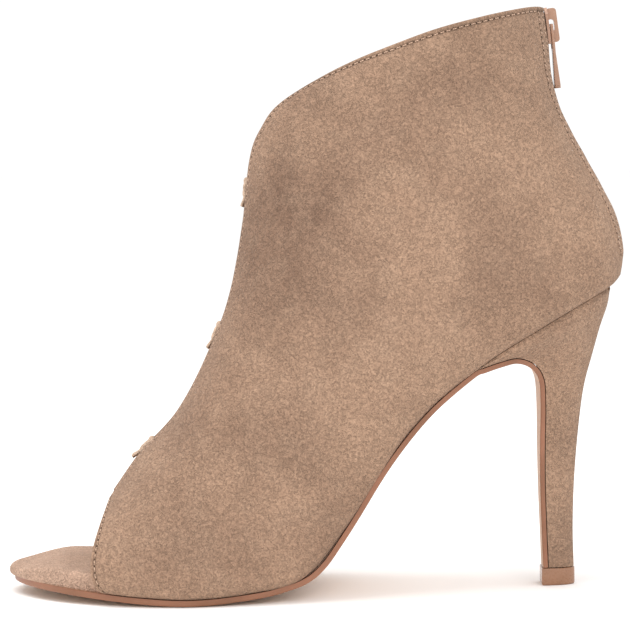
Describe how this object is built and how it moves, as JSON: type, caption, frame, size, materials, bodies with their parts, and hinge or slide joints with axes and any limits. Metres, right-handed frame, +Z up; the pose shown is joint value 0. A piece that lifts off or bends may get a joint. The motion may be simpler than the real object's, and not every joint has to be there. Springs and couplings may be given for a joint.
{
  "type": "ankle boot",
  "caption": "Peep-toe ankle boot on a high slim heel, with an open front slit held by knotted ties, a sloping collar and a back zip with a swinging pull tab",
  "frame": {"origin": "on the floor, under the middle of the boot's box", "axes": "+Z up, toe to -X, heel to +X, lateral side to -Y and medial side to +Y"},
  "size_m": [0.2226, 0.082, 0.2078],
  "materials": {
    "suede": "brushed microfibre suede, matt",
    "sole_rubber": "smooth, satin",
    "tip_plastic": "moulded, glossy",
    "zip_cloth": "woven tape",
    "zip_nylon": "moulded coil, satin",
    "zip_metal": "satin paint",
    "lace": "cut suede strip, matt"
  },
  "bodies": {
    "boot": {"upper": "suede", "insole": "suede", "outsole": "sole_rubber", "heel": "suede", "heel_tip": "tip_plastic", "zip_tape": "zip_cloth", "zip_coil": "zip_nylon", "zip_slider": "zip_metal", "front_tie_lower": "lace", "front_tie_middle": "lace", "front_tie_upper": "lace"},
    "pull": {"zip_pull": "zip_metal"}
  },
  "joints": [
    {"name": "pull_swing", "type": "hinge", "parent": "boot", "child": "pull", "pos_m": [0.08666, -0.00011, 0.2013], "axis": [0, -1, 0], "range_deg": [0, 165]}
  ]
}
